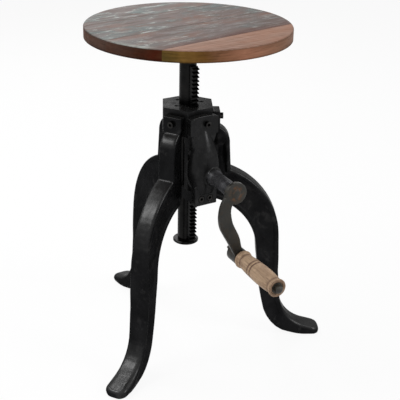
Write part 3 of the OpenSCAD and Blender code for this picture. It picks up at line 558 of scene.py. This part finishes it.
def shade_by_angle():
    """Shades smooth across every edge but the sharp ones."""
    f = Field("shade_by_angle", 0.004 * MM)
    faces = f.node("GeometryNodeSetShadeSmooth", domain="FACE")
    edges = f.node("GeometryNodeSetShadeSmooth", domain="EDGE")
    angle = f.node("GeometryNodeInputMeshEdgeAngle")
    flat = f.node("FunctionNodeCompare", data_type="FLOAT", operation="LESS_THAN")
    f.feed(flat.inputs[0], angle.outputs["Unsigned Angle"])
    f.feed(flat.inputs[1], math.radians(SMOOTH_BELOW))
    f.feed(faces.inputs["Geometry"], f.welded)
    f.feed(edges.inputs["Geometry"], faces.outputs[0])
    f.feed(edges.inputs["Shade Smooth"], flat.outputs[0])
    f.feed(f.end.inputs[0], edges.outputs[0])
    return f.tree


def cast(voxel, rounds, *nodes):
    """Castings and forgings: corners and joins are rounded over, as a mould or hammer leaves them."""
    for name in nodes:
        node = frame["nodes"][name]
        skin = node.modifiers.new("skin", "REMESH")
        skin.mode = "VOXEL"
        skin.voxel_size = voxel
        skin.use_smooth_shade = True
        soft = node.modifiers.new("soft", "SMOOTH")
        soft.factor = 0.5
        soft.iterations = rounds


def reshape(group, *nodes):
    """Puts a geometry modifier on nodes."""
    for name in nodes:
        frame["nodes"][name].modifiers.new(group.name, "NODES").node_group = group


# ------------------------------------------------------------------ the stool
paint(cast_iron("cast_iron", 0.0), "leg_left", "leg_right", "leg_rear", "lower_guide", "seat_flange")
# the case, hex head and guide ring take a lighter copy of the iron, a painted highlight
paint(cast_iron("case_iron", 0.3), "gear_housing", "hex_head", "guide_ring")
paint(black_steel(), "post_bar", "rack_strip", "stop_disc")
paint(black_screw(), "leg_bolts", "housing_bolt", "guide_screws")
paint(worn_steel(), "crank_shaft", "spacer_collar", "crank_arm", "grip_rod", "grip_washer", "end_washer")
paint(bright_steel(), "seat_screws", "stop_screw", "retaining_washer", "retaining_bolt",
      "gear_axle", "rack_gear", "worm", "worm_pin")
paint(bronze(), "swivel_bush", "thrust_washer", "shaft_bush_inner", "shaft_bush_outer")
paint(nut_paint(), "grip_nut")
# the rim's colours along the boards: (metres from the seat's middle, colour)
WALNUT = ((-0.165, (0.095, 0.052, 0.038)), (-0.150, (0.080, 0.028, 0.014)),
          (-0.136, (0.095, 0.018, 0.007)), (-0.120, (0.110, 0.055, 0.024)),
          (0.120, (0.120, 0.062, 0.036)), (0.165, (0.110, 0.066, 0.048)))
OLIVE = ((-0.134, (0.150, 0.098, 0.028)), (-0.112, (0.300, 0.165, 0.042)),
         (-0.090, (0.235, 0.112, 0.032)), (-0.074, (0.270, 0.125, 0.060)),
         (-0.030, (0.470, 0.215, 0.130)), (0.030, (0.310, 0.160, 0.100)),
         (0.100, (0.270, 0.158, 0.112)), (0.160, (0.225, 0.148, 0.118)))
paint(bare_board("plank_brown", 0.0, OLIVE), "seat_plank_front")
paint(painted_board("plank_grey", 1.7, 0.6, WALNUT), "seat_plank_mid_front")
paint(painted_board("plank_mid", 3.1, 0.85, WALNUT), "seat_plank_mid_rear")
paint(painted_board("plank_painted", 5.3, 1.0, WALNUT), "seat_plank_rear")
paint(grip_wood(), "grip")

for leg, azimuth in (("leg_left", -150), ("leg_right", -30), ("leg_rear", 90)):
    reshape(fuller_leg(azimuth), leg)
cast(1.4 * MM, 8, "leg_left", "leg_right", "leg_rear")
cast(1.0 * MM, 6, "gear_housing")
cast(0.9 * MM, 3, "crank_arm")
reshape(fuller_arm(), "crank_arm")
# machined pieces keep their edges and shade smooth round their curves
reshape(shade_by_angle(), *[name for name in frame["nodes"] if not frame["nodes"][name].modifiers])


# ------------------------------------------------------------------ floor, light and camera
FLOOR_GLOW = 0.92       # share of plain white in the floor as seen; the rest of it takes shadow
FLOOR_HALF = 8.0        # metres
FLOOR_DROP = 0.2 * MM   # below the feet
ROOM_LIGHT = 0.26       # strength of the world's light on things
LAMPS_FACE = Vector((0, 0, 0.3))
LENS = 89.3             # millimetres, on a sensor 36 mm wide
CAMERA_AT = (-0.8223, -1.3037, 0.9156)
CAMERA_TURNS = (-33.11, "Z"), (66.79, "X"), (1.16, "Z")     # degrees: heading, tilt and roll


def studio_white(name, colour, glow):
    """Pale and matt under the lamps, and near white where the camera or a reflection sees it."""
    f = Finish(name)
    f.set(Base_Color=colour + (1,), Roughness=0.9, Specular_IOR_Level=0.0)
    light = f.node("ShaderNodeEmission")
    f.feed(light.inputs["Strength"], 1.0)
    share = f.math("MULTIPLY", f.seen(), glow)
    shader = f.blend(share, f.shader.outputs["BSDF"], light.outputs["Emission"])
    f.feed(f.output.inputs["Surface"], shader)
    return f.material


def floor():
    mesh = bpy.data.meshes.new("floor")
    corners = [(x * FLOOR_HALF, y * FLOOR_HALF, 0) for x, y in ((-1, -1), (1, -1), (1, 1), (-1, 1))]
    mesh.from_pydata(corners, [], [(0, 1, 2, 3)])
    made = bpy.data.objects.new("floor", mesh)
    made.location.z = -FLOOR_DROP
    bpy.context.collection.objects.link(made)
    made.data.materials.append(studio_white("floor", (0.86, 0.86, 0.86), FLOOR_GLOW))


def world():
    """A pale room: plain soft light on everything, white where it is seen or reflected."""
    sky = bpy.data.worlds.new("studio")
    bpy.context.scene.world = sky
    sky.use_nodes = True
    f = Tree(sky.node_tree)
    rooms = []
    for strength in (ROOM_LIGHT, 1.0):
        room = f.node("ShaderNodeBackground")
        f.feed(room.inputs["Color"], (1, 1, 1, 1))
        f.feed(room.inputs["Strength"], strength)
        rooms.append(room.outputs[0])
    out = f.node("ShaderNodeOutputWorld")
    f.feed(out.inputs["Surface"], f.blend(f.seen(), *rooms))


def lamp(name, azimuth, elevation, distance, size, power):
    """A square soft box that faces the stool. Azimuth 0 is in front, at -Y, and 90 at +X."""
    a = math.radians(azimuth)
    e = math.radians(elevation)
    back = Vector((math.sin(a) * math.cos(e), -math.cos(a) * math.cos(e), math.sin(e)))
    data = bpy.data.lights.new(name, "AREA")
    data.shape = "SQUARE"
    data.size = size
    data.energy = power
    made = bpy.data.objects.new(name, data)
    made.location = LAMPS_FACE + back * distance
    made.rotation_euler = back.to_track_quat("Z", "Y").to_euler()
    bpy.context.collection.objects.link(made)


def camera():
    """The photo's camera, fitted to the seat's rim, the feet and the post."""
    data = bpy.data.cameras.new("camera")
    data.lens = LENS
    data.sensor_width = 36
    data.clip_end = 50
    made = bpy.data.objects.new("camera", data)
    heading, tilt, roll = [Matrix.Rotation(math.radians(angle), 4, axis) for angle, axis in CAMERA_TURNS]
    made.matrix_world = Matrix.Translation(CAMERA_AT) @ heading @ tilt @ roll
    bpy.context.collection.objects.link(made)
    bpy.context.scene.camera = made


floor()
world()
lamp("side", -101, 46, 2.2, 0.8, 17)    # left, as the camera sees it
lamp("low", -134, 37, 2.0, 0.7, 7)      # left and a little behind
lamp("over", -161, 65, 2.0, 0.6, 10)    # high up, behind on the left
lamp("back", 157, 43, 2.2, 0.6, 7.5)    # straight behind
lamp("rear", 160, 27, 2.2, 0.9, 8)      # straight behind and lower
lamp("front", 33, 29, 2.2, 0.8, 16)     # right
camera()
bpy.context.scene.view_settings.view_transform = "Standard"
